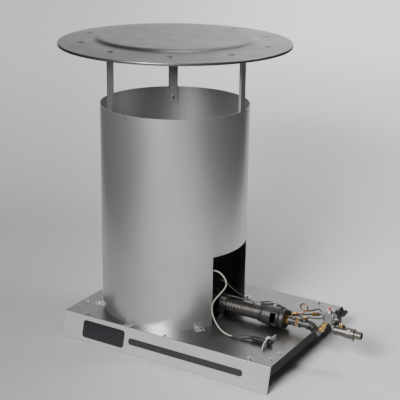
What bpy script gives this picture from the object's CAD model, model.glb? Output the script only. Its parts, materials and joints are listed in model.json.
"""Looks of a portable gas convection heater: finishes, spun dish, leads, camera and studio."""

import json
import logging
import math
from dataclasses import dataclass
from enum import Enum

import bmesh
import bpy
import numpy as np
from mathutils import Matrix, Vector


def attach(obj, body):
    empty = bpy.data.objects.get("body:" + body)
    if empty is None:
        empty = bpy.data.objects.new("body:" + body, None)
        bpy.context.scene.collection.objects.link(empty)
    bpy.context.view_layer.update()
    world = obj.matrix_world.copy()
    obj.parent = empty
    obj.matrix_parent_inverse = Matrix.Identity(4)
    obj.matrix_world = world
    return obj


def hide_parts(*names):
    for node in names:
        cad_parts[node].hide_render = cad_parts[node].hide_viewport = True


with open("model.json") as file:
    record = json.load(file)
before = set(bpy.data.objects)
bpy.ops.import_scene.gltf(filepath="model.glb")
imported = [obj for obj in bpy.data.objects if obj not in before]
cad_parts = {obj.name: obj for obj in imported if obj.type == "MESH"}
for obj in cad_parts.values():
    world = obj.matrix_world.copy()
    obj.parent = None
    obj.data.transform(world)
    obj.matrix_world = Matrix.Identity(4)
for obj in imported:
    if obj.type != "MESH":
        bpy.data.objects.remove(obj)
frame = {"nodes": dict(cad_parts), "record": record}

log = logging.getLogger("heater")

MM = 0.001
PLATE_X = -0.0265  # middle of the base plate's length
STACK_X = -0.1249  # axis of the stack, the dish and the burner
ROOT_BODY = "heater"

GRAIN_STRETCH = 0.02  # a grain line's fineness along its run, as a share of that across it
RING_WANDER = 4.0  # how often a spun ring changes along its run, per metre
TRIM_COLOUR = "#050505"  # black trim on the plate's down-turned ends
TRIM_ROUGHNESS = 0.7
TRIM_BLEND = 0.0002  # half the width of the trim's soft edge
POLE_RADIUS = 1e-5  # a tube's end ring, which closes its end


def linear(hex_colour: str) -> tuple[float, float, float, float]:
    """Turns an sRGB hex colour into the linear colour that shaders take.

    Args:
        hex_colour: six hex digits with a leading hash.

    Returns:
        Linear red, green, blue and an alpha of one.
    """
    code = np.array([int(hex_colour[i : i + 2], 16) / 255 for i in (1, 3, 5)])
    rgb = np.where(code <= 0.04045, code / 12.92, ((code + 0.055) / 1.055) ** 2.4)
    return (*map(float, rgb), 1.0)


def add_node(
    tree: bpy.types.NodeTree, kind: str, inputs: dict | None = None, **settings
) -> bpy.types.Node:
    """Adds one node, sets it up and links it.

    Args:
        tree: the node tree that takes it.
        kind: the node's type name.
        inputs: socket name or number to a value, or to the output socket that feeds it.
        **settings: the node's own properties.

    Returns:
        The new node.
    """
    node = tree.nodes.new(kind)
    for name, value in settings.items():
        setattr(node, name, value)
    for key, value in (inputs or {}).items():
        if isinstance(value, bpy.types.NodeSocket):
            tree.links.new(value, node.inputs[key])
        else:
            node.inputs[key].default_value = value
    return node


class Grain(Enum):
    """The way the fine marks of a metal surface run."""

    NONE = "none"
    ALONG_X = "along x"
    AROUND_Z = "around z"
    RINGS_ABOUT_STACK = "rings about the stack"


@dataclass(frozen=True)
class Finish:
    """One surface finish, as its maker would order it.

    The colour wanders between two tones over patches, the roughness wanders with it, and a
    fine bump gives the grain. Where dark_ends_mm is set, what lies further than that from the
    plate's middle along X is black trim.
    """

    name: str
    tone: str
    second_tone: str
    metallic: float = 0.0
    roughness: float = 0.5
    roughness_spread: float = 0.08
    patch_mm: float = 60.0
    grain: Grain = Grain.NONE
    grain_mm: float = 0.8
    grain_depth_mm: float = 0.01
    grit_mm: float = 0.0
    grit_depth_mm: float = 0.0
    coat: float = 0.0
    coat_roughness: float = 0.1
    ior: float = 1.5
    dark_ends_mm: float = 0.0

    def grain_vector(
        self, tree: bpy.types.NodeTree, place: bpy.types.NodeSocket
    ) -> bpy.types.NodeSocket:
        """Stretches the object coordinates so that noise turns into lines the way the grain runs.

        Args:
            tree: the material's node tree.
            place: the object coordinates.

        Returns:
            The stretched coordinates.
        """
        fine = 1000.0 / self.grain_mm
        if self.grain is Grain.RINGS_ABOUT_STACK:
            centred = add_node(
                tree, "ShaderNodeVectorMath", {0: place, 1: (-STACK_X, 0.0, 0.0)}, operation="ADD"
            )
            flat = add_node(
                tree,
                "ShaderNodeVectorMath",
                {0: centred.outputs[0], 1: (1.0, 1.0, 0.0)},
                operation="MULTIPLY",
            )
            radius = add_node(
                tree, "ShaderNodeVectorMath", {0: flat.outputs[0]}, operation="LENGTH"
            )
            rings = add_node(
                tree, "ShaderNodeMath", {0: radius.outputs["Value"], 1: fine}, operation="MULTIPLY"
            )
            along = add_node(
                tree,
                "ShaderNodeVectorMath",
                {0: flat.outputs[0], 1: (RING_WANDER, RING_WANDER, 0.0)},
                operation="MULTIPLY",
            )
            return add_node(
                tree,
                "ShaderNodeVectorMath",
                {0: along.outputs[0], 1: rings.outputs[0]},
                operation="ADD",
            ).outputs[0]
        stretch = {
            Grain.ALONG_X: (fine * GRAIN_STRETCH, fine, fine),
            Grain.AROUND_Z: (fine * GRAIN_STRETCH, fine * GRAIN_STRETCH, fine),
        }.get(self.grain, (fine, fine, fine))
        return add_node(tree, "ShaderNodeMapping", {"Vector": place, "Scale": stretch}).outputs[0]

    def darken_ends(
        self, tree: bpy.types.NodeTree, place: bpy.types.NodeSocket, shader: bpy.types.Node
    ) -> None:
        """Turns what lies beyond the ends of the base plate into the black trim on its lips.

        Args:
            tree: the material's node tree.
            place: the object coordinates.
            shader: the surface shader, whose colour, metal and roughness are mixed with the trim's.
        """
        x = add_node(tree, "ShaderNodeSeparateXYZ", {0: place}).outputs[0]
        off = add_node(tree, "ShaderNodeMath", {0: x, 1: PLATE_X}, operation="SUBTRACT").outputs[0]
        far = add_node(tree, "ShaderNodeMath", {0: off}, operation="ABSOLUTE").outputs[0]
        edge = self.dark_ends_mm * MM
        share = add_node(
            tree,
            "ShaderNodeMapRange",
            {0: far, 1: edge - TRIM_BLEND, 2: edge + TRIM_BLEND, 3: 0.0, 4: 1.0},
        ).outputs[0]
        trims = (
            ("Base Color", linear(TRIM_COLOUR)),
            ("Metallic", 0.0),
            ("Roughness", TRIM_ROUGHNESS),
        )
        for socket, trim in trims:
            target = shader.inputs[socket]
            source = target.links[0].from_socket if target.links else target.default_value
            if socket == "Base Color":
                mixed = add_node(
                    tree, "ShaderNodeMix", {0: share, 6: source, 7: trim}, data_type="RGBA"
                ).outputs[2]
            else:
                mixed = add_node(tree, "ShaderNodeMix", {0: share, 2: source, 3: trim}).outputs[0]
            tree.links.new(mixed, target)

    def material(self) -> bpy.types.Material:
        """Builds the material, or returns the one already built under this name.

        Returns:
            The finish as a Blender material.
        """
        known = bpy.data.materials.get(self.name)
        if known:
            return known
        made = bpy.data.materials.new(self.name)
        made.use_nodes = True
        tree = made.node_tree
        tree.nodes.clear()
        place = add_node(tree, "ShaderNodeTexCoord").outputs["Object"]
        patches = add_node(
            tree,
            "ShaderNodeTexNoise",
            {"Vector": place, "Scale": 1000.0 / self.patch_mm, "Detail": 5.0, "Roughness": 0.6},
        ).outputs["Fac"]
        spread = add_node(
            tree, "ShaderNodeMapRange", {"Value": patches, "From Min": 0.3, "From Max": 0.7}
        ).outputs["Result"]
        colour = add_node(
            tree,
            "ShaderNodeMix",
            {0: spread, 6: linear(self.tone), 7: linear(self.second_tone)},
            data_type="RGBA",
        ).outputs[2]
        roughness = add_node(
            tree,
            "ShaderNodeMapRange",
            {
                "Value": patches,
                "From Min": 0.25,
                "From Max": 0.75,
                "To Min": self.roughness - self.roughness_spread / 2,
                "To Max": self.roughness + self.roughness_spread / 2,
            },
        ).outputs["Result"]
        shader = add_node(
            tree,
            "ShaderNodeBsdfPrincipled",
            {
                "Base Color": colour,
                "Roughness": roughness,
                "Metallic": self.metallic,
                "IOR": self.ior,
                "Coat Weight": self.coat,
                "Coat Roughness": self.coat_roughness,
            },
        )
        if self.dark_ends_mm:
            self.darken_ends(tree, place, shader)
        normal = None
        if self.grain is not Grain.NONE:
            lines = add_node(
                tree,
                "ShaderNodeTexNoise",
                {"Vector": self.grain_vector(tree, place), "Scale": 1.0, "Detail": 2.0},
            ).outputs["Fac"]
            normal = add_node(
                tree,
                "ShaderNodeBump",
                {"Height": lines, "Distance": self.grain_depth_mm * MM, "Strength": 1.0},
            ).outputs[0]
        if self.grit_mm:
            grit = add_node(
                tree,
                "ShaderNodeTexNoise",
                {"Vector": place, "Scale": 1000.0 / self.grit_mm, "Detail": 3.0},
            ).outputs["Fac"]
            inputs = {"Height": grit, "Distance": self.grit_depth_mm * MM, "Strength": 1.0}
            if normal:
                inputs["Normal"] = normal
            normal = add_node(tree, "ShaderNodeBump", inputs).outputs[0]
        if normal:
            tree.links.new(normal, shader.inputs["Normal"])
        add_node(tree, "ShaderNodeOutputMaterial", {"Surface": shader.outputs[0]})
        return made


# Rolled grain, turning marks and sand grain are a tenth of a millimetre or so on real metal,
# too fine to show, so each grain and grit below is drawn as coarse as it needs to be seen.

# Aluminised steel sheet: a soft satin skin that spreads each light into a broad upright band.
ALUMINISED = Finish(
    "aluminised_sheet", "#C6C7C5", "#BCBDBC", 0.95, 0.35, 0.04, 120.0, Grain.AROUND_Z, 1.2, 0.0015
)
# The same sheet after spinning: darker, with faint rings about its middle.
SPUN = Finish(
    "spun_aluminised_sheet",
    "#7B7C7B",
    "#6F706F",
    1.0,
    0.34,
    0.08,
    60.0,
    Grain.RINGS_ABOUT_STACK,
    2.2,
    0.008,
)
# Smooth bright rolled sheet: it mirrors what stands on it, blurred. Its ends have black trim.
BRIGHT_SHEET = Finish(
    "bright_rolled_sheet",
    "#8E8F8E",
    "#828382",
    1.0,
    0.33,
    0.06,
    120.0,
    Grain.ALONG_X,
    1.5,
    0.002,
    dark_ends_mm=304.2,
)
# Satin sheet on the skirts: paler and flatter than the plate, with no clear mirror image.
SKIRT_SHEET = Finish(
    "satin_base_sheet", "#BBBCBA", "#B0B1B0", 0.6, 0.34, 0.05, 120.0, Grain.ALONG_X, 1.5, 0.002
)
# Bright zinc plate: screws, feet and nuts that catch small sharp glints.
ZINC = Finish("bright_zinc_plate", "#C9CAC8", "#AEB0AE", 1.0, 0.26, 0.12, 6.0)
# White zinc plate: a chalky pale skin, nearly matt.
BRACKET_ZINC = Finish("white_zinc_plate", "#D2D3D1", "#C2C3C1", 0.35, 0.36, 0.1, 9.0)
# Dull zinc plate, handled and warmed: a dark grey sheen with slight unevenness.
SHUTTER_STEEL = Finish(
    "dull_zinc_plate", "#5E5D5C", "#454443", 1.0, 0.38, 0.14, 8.0, grit_mm=2.2, grit_depth_mm=0.05
)
# Oxidised aluminium tube: grey, soft and a little blotchy.
DULL_TUBE = Finish("oxidised_aluminium_tube", "#6B6A67", "#4E4D4B", 0.9, 0.42, 0.12, 9.0)
# Sand-cast iron: a dark skin whose pebbled grain breaks up the highlight.
CAST_IRON = Finish(
    "sand_cast_iron", "#504F4E", "#363534", 0.9, 0.46, 0.14, 9.0, grit_mm=1.4, grit_depth_mm=0.2
)
# Black oxide steel: dark pipe with a low oily sheen.
BLACK_PIPE = Finish(
    "black_oxide_steel",
    "#6C6B69",
    "#3F3E3D",
    0.95,
    0.36,
    0.14,
    12.0,
    grit_mm=1.2,
    grit_depth_mm=0.04,
)
# Heat-stained steel: drawn tube dulled by the burner, with lines along its run.
BURNER_TUBE = Finish(
    "heat_stained_steel", "#5F5C5A", "#444240", 1.0, 0.44, 0.14, 16.0, Grain.ALONG_X, 1.0, 0.01
)
# Turned brass: warm and bright, broken into small facets of light.
BRASS = Finish(
    "turned_brass", "#D9B872", "#B08C4C", 1.0, 0.22, 0.14, 5.0, grit_mm=3.0, grit_depth_mm=0.18
)
# Die-cast zinc: an even mid grey with a fine tooth.
DIE_CAST = Finish(
    "die_cast_zinc", "#9D9E9D", "#858685", 0.9, 0.46, 0.1, 8.0, grit_mm=0.9, grit_depth_mm=0.03
)
# Dark bronze plate: a brownish metal, shiny on its edges.
DARK_PLATE = Finish("dark_bronze_plate", "#7C7872", "#5B5853", 0.95, 0.34, 0.12, 8.0)
# Moulded phenolic: hard black plastic with a dull gloss.
BLACK_PLASTIC = Finish(
    "moulded_phenolic", "#0C0C0C", "#080808", 0.0, 0.36, 0.1, 8.0, grit_mm=0.8, grit_depth_mm=0.02
)
# Moulded red nylon: a plain saturated red with a clean gloss.
RED_PLASTIC = Finish("moulded_red_nylon", "#9A1B14", "#861610", 0.0, 0.32, 0.08, 5.0)
# Moulded rubber: black and soft-looking, with almost no highlight.
BLACK_RUBBER = Finish(
    "moulded_rubber", "#0C0C0C", "#080808", 0.0, 0.5, 0.1, 8.0, grit_mm=0.9, grit_depth_mm=0.03
)
# Spiral wrap tape: matt black turns, slightly crinkled.
LOOM_WRAP = Finish(
    "spiral_wrap_tape", "#0D0D0D", "#1C1B1B", 0.0, 0.66, 0.16, 7.0, grit_mm=1.1, grit_depth_mm=0.06
)
# Silicone-coated glass sleeve: a pale matt cord with a woven tooth.
LEAD_JACKET = Finish(
    "silicone_glass_sleeve",
    "#85827B",
    "#736F68",
    0.0,
    0.55,
    0.08,
    9.0,
    grit_mm=0.8,
    grit_depth_mm=0.06,
)
# Drawn aluminium: light grey tube with a soft even sheen.
DRAWN_ALUMINIUM = Finish("drawn_aluminium", "#B9BAB9", "#9C9D9C", 1.0, 0.36, 0.1, 10.0)
# Dull copper: brown where it has tarnished, redder where it is rubbed.
COPPER = Finish("dull_copper", "#9B6A4B", "#6F4A35", 1.0, 0.38, 0.1, 8.0)
# Glazed alumina: off-white ceramic under a clear glassy skin.
ALUMINA = Finish("glazed_alumina", "#E6E1D6", "#DAD4C6", 0.0, 0.22, 0.05, 5.0, coat=0.4)
# Drawn spring wire: bright grey with a thin line of light along it.
SPRING_WIRE = Finish("drawn_spring_wire", "#A8A9A8", "#8F908F", 1.0, 0.3, 0.08, 4.0)
# Black enamel plate: nearly black under a clear gloss.
BADGE_ENAMEL = Finish("black_enamel_plate", "#15161A", "#101114", 0.0, 0.3, 0.06, 20.0, coat=0.5)
# Printed stripe: flat dark ink on the skirt.
STRIPE_INK = Finish("printed_stripe", "#1C1C1E", "#161617", 0.0, 0.5, 0.06, 20.0)

FINISH_OF_SLOT: dict[str, Finish] = {
    "aluminised_steel": ALUMINISED,
    "dish_steel": SPUN,
    "base_steel": BRIGHT_SHEET,
    "zinc_steel": ZINC,
    "cast_iron": CAST_IRON,
    "black_pipe": BLACK_PIPE,
    "burner_steel": BURNER_TUBE,
    "brass": BRASS,
    "die_cast": DIE_CAST,
    "valve_dark": DARK_PLATE,
    "black_plastic": BLACK_PLASTIC,
    "red_plastic": RED_PLASTIC,
    "black_rubber": BLACK_RUBBER,
    "lead_jacket": LEAD_JACKET,
    "tube_aluminium": DRAWN_ALUMINIUM,
    "copper": COPPER,
    "ceramic_white": ALUMINA,
    "spring_steel": SPRING_WIRE,
    "badge_dark": BADGE_ENAMEL,
    "stripe_dark": STRIPE_INK,
}


def surface(
    name: str, points: np.ndarray, closed_u: bool = False, closed_v: bool = False
) -> bpy.types.Object:
    """Makes a mesh of a grid of points.

    Args:
        name: the piece's name.
        points: an array of rows by columns by three.
        closed_u: whether the last row joins the first.
        closed_v: whether the last column joins the first.

    Returns:
        The new object, at the origin, with smooth faces.
    """
    rows, columns = points.shape[:2]
    index = np.arange(rows * columns).reshape(rows, columns)
    if closed_u:
        index = np.vstack([index, index[:1]])
    if closed_v:
        index = np.hstack([index, index[:, :1]])
    corners = [index[:-1, :-1], index[1:, :-1], index[1:, 1:], index[:-1, 1:]]
    quads = np.stack(corners, axis=-1).reshape(-1, 4)
    mesh = bpy.data.meshes.new(name)
    mesh.from_pydata(points.reshape(-1, 3).tolist(), [], quads.tolist())
    mesh.shade_smooth()
    piece = bpy.data.objects.new(name, mesh)
    bpy.context.scene.collection.objects.link(piece)
    return piece


def smooth_path(controls: np.ndarray, count: int) -> np.ndarray:
    """Samples the clamped quadratic B-spline of some control points.

    The curve's joints are the middles of the runs between control points, save for the two
    ends. Between two joints a and c the point is a(1-t)^2 + 2bt(1-t) + ct^2, with b the
    control point between them.

    Args:
        controls: control points, one row each.
        count: how many samples each span gets.

    Returns:
        The points along the curve.
    """
    joints = (controls[:-1] + controls[1:]) / 2
    joints[0], joints[-1] = controls[0], controls[-1]
    t = np.linspace(0.0, 1.0, count, endpoint=False)[None, :, None]
    start, middle, end = joints[:-1, None], controls[1:-1, None], joints[1:, None]
    curve = start * (1 - t) ** 2 + 2 * middle * t * (1 - t) + end * t**2
    return np.vstack([curve.reshape(-1, controls.shape[1]), controls[-1:]])


def tube(path: np.ndarray, radius: np.ndarray) -> np.ndarray:
    """Carries a round section along a path.

    A point is path(s) + radius(s, angle) (cos(angle) side + sin(angle) over), where side and
    over are square to the path, and side is kept as level as it can be.

    Args:
        path: the points of its middle line.
        radius: an array of path points by points round the section.

    Returns:
        A grid of path points by points round the section.
    """
    ahead = np.gradient(path, axis=0)
    ahead /= np.linalg.norm(ahead, axis=1, keepdims=True)
    steep = np.abs(ahead[:, 2:]) > 0.95
    side = np.cross(np.where(steep, [[1.0, 0.0, 0.0]], [[0.0, 0.0, 1.0]]), ahead)
    side /= np.linalg.norm(side, axis=1, keepdims=True)
    over = np.cross(ahead, side)
    angle = np.linspace(0.0, 2 * math.pi, radius.shape[1], endpoint=False)[None, :, None]
    outward = np.cos(angle) * side[:, None] + np.sin(angle) * over[:, None]
    return path[:, None] + radius[:, :, None] * outward


def join_points(piece: bpy.types.Object, distance: float = 1e-6) -> None:
    """Merges points that lie together, which closes a pole, and turns all faces outwards.

    Args:
        piece: the piece to close.
        distance: how near two points are merged.
    """
    mesh = bmesh.new()
    mesh.from_mesh(piece.data)
    bmesh.ops.remove_doubles(mesh, verts=mesh.verts, dist=distance)
    bmesh.ops.recalc_face_normals(mesh, faces=mesh.faces)
    mesh.to_mesh(piece.data)
    mesh.free()


def hand_over(
    piece: bpy.types.Object, finish: Finish, node: str | None = None
) -> bpy.types.Object:
    """Gives a new piece its finish, its body and the CAD node it stands for.

    Args:
        piece: the new piece.
        finish: its finish.
        node: the CAD node that it replaces, if any.

    Returns:
        The piece.
    """
    piece.data.materials.clear()
    piece.data.materials.append(finish.material())
    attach(piece, ROOT_BODY)
    if node:
        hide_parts(node)
    log.info("made %s", piece.name)
    return piece


@dataclass
class DeflectorDish:
    """The spun dish over the stack: flat middle, shoulder, sloping brim with dents, rolled rim."""

    sheet: float = 0.0014
    top: float = 0.786
    shoulder_radius: float = 0.195
    brim_height: float = 0.7775
    rim_radius: float = 0.2928
    rim_top: float = 0.7718
    rim_bottom: float = 0.7655
    dents: int = 10
    dent_first_deg: float = -61.8
    dent_ring: float = 0.240
    dent_depth: float = 0.0026
    dent_width: float = 0.0088
    columns: int = 480
    stud_ring: float = 0.17725
    stud_radius: float = 0.003
    stud_bottom: float = 0.7757
    stud_pitch: float = 0.001
    thread_depth: float = 0.00035
    strap_angles_deg: tuple[float, ...] = (4.0, 124.0, 244.0)

    def profile(self) -> np.ndarray:
        """Works out the upper side's radius and height, from the middle to the rim's foot."""
        shoulder = self.shoulder_radius
        controls = np.array(
            [
                (0.0, self.top),
                (0.12, self.top),
                (shoulder - 0.014, self.top),
                (shoulder - 0.003, self.top - 0.0002),
                (shoulder + 0.009, self.brim_height + 0.0012),
                (shoulder + 0.019, self.brim_height - 0.0002),
                (0.228, self.brim_height - 0.0006),
                (0.240, self.brim_height - 0.0016),
                (0.256, self.brim_height - 0.0028),
                (0.276, self.brim_height - 0.0046),
                (self.rim_radius - 0.004, self.rim_top + 0.0004),
                (self.rim_radius + 0.0006, self.rim_top),
                (self.rim_radius + 0.0007, self.rim_top - 0.003),
                (self.rim_radius + 0.0005, self.rim_bottom),
            ]
        )
        return smooth_path(controls, 8)

    def build(self) -> bpy.types.Object:
        """Spins the profile about the stack's axis and presses the dents.

        A point is (stack + r cos a, r sin a, z(r) - sum of depth exp(-(distance / width)^4)),
        the distance being to each dent's middle, once for the upper side and once a sheet
        lower for the under side.

        Returns:
            The dish.
        """
        upper = self.profile()
        slope = np.gradient(upper, axis=0)
        slope /= np.linalg.norm(slope, axis=1, keepdims=True)
        under = upper - self.sheet * np.stack([-slope[:, 1], slope[:, 0]], axis=1)
        under[:, 0] = np.maximum(under[:, 0], 0.0)
        under[0] = (0.0, upper[0, 1] - self.sheet)
        loop = np.vstack([upper, under[::-1]])
        angle = np.linspace(0.0, 2 * math.pi, self.columns, endpoint=False)
        x = loop[:, 0, None] * np.cos(angle)
        y = loop[:, 0, None] * np.sin(angle)
        z = np.broadcast_to(loop[:, 1, None], x.shape).copy()
        middles = np.radians(self.dent_first_deg + 360.0 / self.dents * np.arange(self.dents))
        away = np.hypot(
            x[..., None] - self.dent_ring * np.cos(middles),
            y[..., None] - self.dent_ring * np.sin(middles),
        )
        z -= self.dent_depth * np.exp(-((away / self.dent_width) ** 4)).sum(axis=-1)
        points = np.stack([x + STACK_X, y, z], axis=-1)
        piece = surface("spun_deflector_dish", points, closed_v=True)
        join_points(piece)
        return hand_over(piece, SPUN, "deflector_dish")

    def build_studs(self) -> bpy.types.Object:
        """Makes the three threaded weld studs under the dish.

        A stud's radius is its size less a thread depth times |2 frac(z / pitch) - 1|.

        Returns:
            The studs as one piece.
        """
        z = np.linspace(self.stud_bottom, self.top - self.sheet / 2, 90)
        thread = self.thread_depth * np.abs(2 * np.mod(z / self.stud_pitch, 1.0) - 1)
        radius = np.repeat((self.stud_radius - thread)[:, None], 20, axis=1)
        radius[0] = radius[-1] = POLE_RADIUS
        grids = []
        for angle in np.radians(self.strap_angles_deg):
            x = STACK_X + self.stud_ring * math.cos(angle)
            y = self.stud_ring * math.sin(angle)
            line = np.stack([np.full_like(z, x), np.full_like(z, y), z], axis=-1)
            grids.append(tube(line, radius))
        piece = surface("dish_studs", np.concatenate(grids), closed_v=True)
        return hand_over(piece, ZINC)


@dataclass
class LeadLoom:
    """The wrapped bundle of leads beside the burner tube, ribbed by its spiral wrap."""

    route: tuple[tuple[float, float, float], ...] = (
        (0.150, 0.036, 0.0985),
        (0.162, 0.036, 0.0985),
        (0.183, 0.036, 0.1055),
        (0.206, 0.036, 0.1055),
        (0.224, 0.036, 0.0985),
        (0.237, 0.036, 0.0985),
    )
    radius: float = 0.0088
    end_radius: float = 0.0060
    pitch: float = 0.0056
    ridge: float = 0.0011
    narrows_from: float = 0.72
    narrows_over: float = 0.16
    merge_distance: float = 5e-5
    around: int = 36

    def build(self) -> bpy.types.Object:
        """Makes the wrap as a tube with a spiral ridge.

        The radius is the loom's, less a ridge depth times
        (1 - sqrt|sin(pi (s / pitch - angle / 2 pi))|), and it eases down to the end radius
        between narrows_from and that share plus narrows_over of the run.

        Returns:
            The loom.
        """
        path = smooth_path(np.array(self.route) + (PLATE_X, 0.0, 0.0), 60)
        steps = np.linalg.norm(np.diff(path, axis=0), axis=1)
        run = np.concatenate([[0.0], np.cumsum(steps)])
        share = np.clip((run / run[-1] - self.narrows_from) / self.narrows_over, 0.0, 1.0)
        base = self.radius + (self.end_radius - self.radius) * share * share * (3 - 2 * share)
        turn = np.linspace(0.0, 1.0, self.around, endpoint=False)
        wave = np.abs(np.sin(math.pi * (run[:, None] / self.pitch - turn[None, :])))
        radius = base[:, None] - self.ridge * (1.0 - np.sqrt(wave))
        radius[0] = radius[-1] = POLE_RADIUS
        piece = surface("wrapped_lead_loom", tube(path, radius), closed_v=True)
        join_points(piece, self.merge_distance)
        return hand_over(piece, LOOM_WRAP, "lead_loom")


@dataclass
class BurnerTube:
    """The drawn burner tube, with soft rolled ribs along the run that enters the stack."""

    start: float = -0.0454
    end: float = 0.174
    axis_height: float = 0.0965
    radius: float = 0.019
    wall: float = 0.0024
    rib_pitch: float = 0.0088
    rib_depth: float = 0.0003
    ribs_from: float = 0.060
    ribs_to: float = 0.128

    def build(self) -> bpy.types.Object:
        """Makes the tube as one closed wall about its axis.

        Outside, the radius is the tube's less rib depth times (1 + cos(2 pi x / pitch)) / 2,
        faded in and out over one pitch, and inside it is plain.

        Returns:
            The tube.
        """
        x = np.linspace(self.start, self.end, 420)
        fade_in = np.clip((x - self.ribs_from) / self.rib_pitch, 0, 1)
        fade_out = np.clip((self.ribs_to - x) / self.rib_pitch, 0, 1)
        fade = fade_in * fade_out
        ribs = self.rib_depth * fade * (1 + np.cos(2 * math.pi * x / self.rib_pitch)) / 2
        outside = np.stack([x, self.radius - ribs], axis=1)
        bore = self.radius - self.wall
        inside = np.array([[self.end, bore], [self.start, bore]])
        loop = np.vstack([outside, inside])
        angle = np.linspace(0.0, 2 * math.pi, 72, endpoint=False)
        grid = np.stack(
            [
                np.broadcast_to(loop[:, :1] + PLATE_X, (len(loop), len(angle))),
                loop[:, 1:] * np.cos(angle),
                loop[:, 1:] * np.sin(angle) + self.axis_height,
            ],
            axis=-1,
        )
        piece = surface("ribbed_burner_tube", grid, closed_u=True, closed_v=True)
        join_points(piece)
        return hand_over(piece, BURNER_TUBE, "burner_tube")


@dataclass
class Viewpoint:
    """The camera, given by where it stands and which way it looks."""

    place: tuple[float, float, float] = (1.2745, -2.2232, 1.2211)
    azimuth_deg: float = -30.73
    elevation_deg: float = 18.25
    roll_deg: float = 0.88
    sensor_mm: float = 36.0
    lens_mm: float = 94.97

    def build(self) -> bpy.types.Object:
        """Makes the camera and sets it as the scene's.

        The line of sight is turned by the azimuth from +Y and down by the elevation, and the
        roll turns the other two axes about it.

        Returns:
            The camera.
        """
        azimuth = math.radians(self.azimuth_deg)
        elevation = math.radians(self.elevation_deg)
        roll = math.radians(self.roll_deg)
        forward = Vector(
            (
                math.sin(azimuth) * math.cos(elevation),
                math.cos(azimuth) * math.cos(elevation),
                -math.sin(elevation),
            )
        )
        level = Vector((math.cos(azimuth), -math.sin(azimuth), 0.0))
        upright = level.cross(forward)
        right = level * math.cos(roll) + upright * math.sin(roll)
        up = upright * math.cos(roll) - level * math.sin(roll)
        lens = bpy.data.cameras.new("camera")
        lens.sensor_width = self.sensor_mm
        lens.lens = self.lens_mm
        camera = bpy.data.objects.new("camera", lens)
        turn = Matrix((right, up, -forward)).transposed().to_4x4()
        camera.matrix_world = Matrix.Translation(self.place) @ turn
        bpy.context.scene.collection.objects.link(camera)
        bpy.context.scene.camera = camera
        return camera


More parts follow.
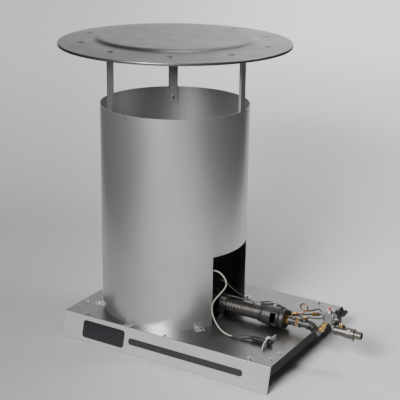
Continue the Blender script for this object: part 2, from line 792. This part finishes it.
@dataclass
class Studio:
    """A narrow sweep of pale paper in a dim room, under soft boxes.

    The paper is narrow so that the sides of the metal mirror the dim room, as they do in a
    small studio.
    """

    paper: str = "#F6F6F6"
    paper_dark: str = "#7E7E7E"
    world_strength: float = 0.09
    half_width: float = 1.0
    turn_deg: float = -30.73
    middle: tuple[float, float] = (-0.13, 0.14)
    rise_from: float = 0.7
    rise_radius: float = 1.1
    height: float = 3.2

    def place(self, across: float, away: float, high: float) -> Vector:
        """Turns a place given from the camera's line of sight into a place in the scene.

        Args:
            across: metres to the right of the line.
            away: metres past the object along the line.
            high: metres above the floor.

        Returns:
            The place in the scene.
        """
        turn = math.radians(self.turn_deg)
        return Vector(
            (
                self.middle[0] + across * math.cos(turn) + away * math.sin(turn),
                self.middle[1] - across * math.sin(turn) + away * math.cos(turn),
                high,
            )
        )

    def build(self) -> None:
        """Makes the paper sweep, the sky light and the soft boxes."""
        curve = [(-3.6, 0.0), (self.rise_from, 0.0)]
        for angle in np.linspace(0.05, math.pi / 2, 24):
            away = self.rise_from + self.rise_radius * math.sin(angle)
            curve.append((away, self.rise_radius * (1.0 - math.cos(angle))))
        curve.append((self.rise_from + self.rise_radius, self.height))
        edges = (-self.half_width, self.half_width)
        grid = np.array(
            [[self.place(across, away, high) for away, high in curve] for across in edges]
        )
        sweep = surface("paper_sweep", grid)
        sweep.data.materials.append(self.graded_paper())
        world = bpy.data.worlds.new("studio")
        world.use_nodes = True
        background = world.node_tree.nodes["Background"]
        background.inputs["Color"].default_value = (1.0, 1.0, 1.0, 1.0)
        background.inputs["Strength"].default_value = self.world_strength
        bpy.context.scene.world = world
        stack_middle = Vector((-0.12, 0.0, 0.62))
        self.soft_box("key_box", Vector((0.16, -1.95, 1.5)), stack_middle, (0.75, 0.7), 118.0)
        paper_right = self.place(1.0, 1.9, 1.1)
        self.soft_box("paper_box", self.place(1.5, 0.2, 2.5), paper_right, (0.7, 0.7), 52.0)
        floor_behind = self.place(0.0, 0.6, 0.0)
        self.soft_box("top_box", self.place(0.2, 0.6, 3.3), floor_behind, (1.2, 1.2), 12.0)

    def graded_paper(self) -> bpy.types.Material:
        """Makes the paper's material, matt and sprayed darker towards its left front.

        Returns:
            The paper.
        """
        turn = math.radians(self.turn_deg)
        made = bpy.data.materials.new("graded_paper")
        made.use_nodes = True
        tree = made.node_tree
        tree.nodes.clear()
        place = add_node(tree, "ShaderNodeTexCoord").outputs["Object"]
        here = add_node(
            tree, "ShaderNodeVectorMath", {0: place, 1: (*self.middle, 0.0)}, operation="SUBTRACT"
        ).outputs[0]
        across = add_node(
            tree,
            "ShaderNodeVectorMath",
            {0: here, 1: (math.cos(turn), -math.sin(turn), 0.0)},
            operation="DOT_PRODUCT",
        ).outputs["Value"]
        back = add_node(
            tree,
            "ShaderNodeVectorMath",
            {0: here, 1: (math.sin(turn) * 0.31, math.cos(turn) * 0.31, 0.83)},
            operation="DOT_PRODUCT",
        ).outputs["Value"]
        side = add_node(
            tree,
            "ShaderNodeMapRange",
            {0: across, 1: -0.6, 2: 0.6, 3: 0.0, 4: 0.48},
            interpolation_type="SMOOTHSTEP",
        ).outputs[0]
        height = add_node(
            tree, "ShaderNodeMapRange", {0: back, 1: -0.19, 2: 0.85, 3: 0.0, 4: 0.52}
        ).outputs[0]
        share = add_node(tree, "ShaderNodeMath", {0: side, 1: height}, operation="ADD").outputs[0]
        colour = add_node(
            tree,
            "ShaderNodeMix",
            {0: share, 6: linear(self.paper_dark), 7: linear(self.paper)},
            data_type="RGBA",
        ).outputs[2]
        shader = add_node(
            tree, "ShaderNodeBsdfPrincipled", {"Base Color": colour, "Roughness": 0.9}
        )
        add_node(tree, "ShaderNodeOutputMaterial", {"Surface": shader.outputs[0]})
        return made

    def soft_box(
        self,
        name: str,
        place: Vector,
        target: Vector,
        size: tuple[float, float],
        watts: float,
    ) -> None:
        """Hangs one rectangular light.

        Args:
            name: the light's name.
            place: where it hangs, in metres.
            target: what it faces.
            size: its width and height.
            watts: its power.
        """
        light = bpy.data.lights.new(name, "AREA")
        light.shape = "RECTANGLE"
        light.size, light.size_y = size
        light.energy = watts
        lamp = bpy.data.objects.new(name, light)
        lamp.location = place
        lamp.rotation_euler = (target - place).to_track_quat("-Z", "Y").to_euler()
        bpy.context.scene.collection.objects.link(lamp)


@dataclass
class IgniterLead:
    """The high-tension lead from the igniter's boot, round and in through the burner opening."""

    diameter: float = 0.0038
    length: float = 0.39
    # Measured from the plate's middle, from the boot to the head of the spark electrode.
    route: tuple[tuple[float, float, float], ...] = (
        (0.148, -0.117, 0.0732),
        (0.134, -0.117, 0.0732),
        (0.117, -0.1158, 0.079),
        (0.101, -0.113, 0.091),
        (0.0885, -0.110, 0.108),
        (0.0815, -0.107, 0.129),
        (0.0865, -0.104, 0.150),
        (0.102, -0.1015, 0.170),
        (0.1145, -0.099, 0.187),
        (0.119, -0.097, 0.202),
        (0.109, -0.0945, 0.216),
        (0.092, -0.090, 0.224),
        (0.073, -0.0825, 0.2215),
        (0.056, -0.071, 0.211),
        (0.043, -0.056, 0.195),
        (0.036, -0.038, 0.175),
        (0.034, -0.022, 0.152),
        (0.030, -0.012, 0.134),
        (0.020, -0.010, 0.128),
        (0.011, -0.010, 0.128),
    )

    def build(self) -> bpy.types.Object:
        """Returns:
            The lead.
        """
        curve = bpy.data.curves.new("igniter_lead_sleeve", "CURVE")
        curve.dimensions = "3D"
        curve.resolution_u = 12
        curve.bevel_depth = self.diameter / 2
        curve.bevel_resolution = 5
        curve.use_fill_caps = True
        spline = curve.splines.new("NURBS")
        spline.points.add(len(self.route) - 1)
        for point, (x, y, z) in zip(spline.points, self.route):
            point.co = (PLATE_X + x, y, z, 1.0)
        spline.order_u = 3
        spline.use_endpoint_u = True
        lead = bpy.data.objects.new("igniter_lead_sleeve", curve)
        bpy.context.scene.collection.objects.link(lead)
        curve.materials.append(LEAD_JACKET.material())
        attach(lead, ROOT_BODY)
        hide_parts("igniter_lead")
        x, y, z = self.route[0]
        return lead


FINISH_OF_NODE: dict[str, Finish] = {
    "front_skirt": SKIRT_SHEET,
    "rear_skirt": SKIRT_SHEET,
    "air_shutter": SHUTTER_STEEL,
    "pilot_tube": DULL_TUBE,
    "capillary_tube": DULL_TUBE,
    "thermocouple_lead": DULL_TUBE,
    "igniter_bracket": BRACKET_ZINC,
    "pilot_tube_nuts": BRASS,
}


def dress_nodes() -> None:
    """Gives every CAD node the finish of its material slot."""
    for part in frame["record"]["subparts"]:
        node = frame["nodes"][part["node"]]
        finish = FINISH_OF_NODE.get(part["node"], FINISH_OF_SLOT[part["material_slot"]])
        node.data.materials.clear()
        node.data.materials.append(finish.material())


def main() -> None:
    """Builds the scene in order."""
    logging.basicConfig(level=logging.INFO, format="%(name)s: %(message)s")
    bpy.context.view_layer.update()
    Viewpoint().build()
    Studio().build()
    lead = IgniterLead().build()
    log.info("made %s", lead.name)
    dish = DeflectorDish()
    dish.build()
    dish.build_studs()
    LeadLoom().build()
    BurnerTube().build()
    dress_nodes()


if __name__ == "__main__":
    main()
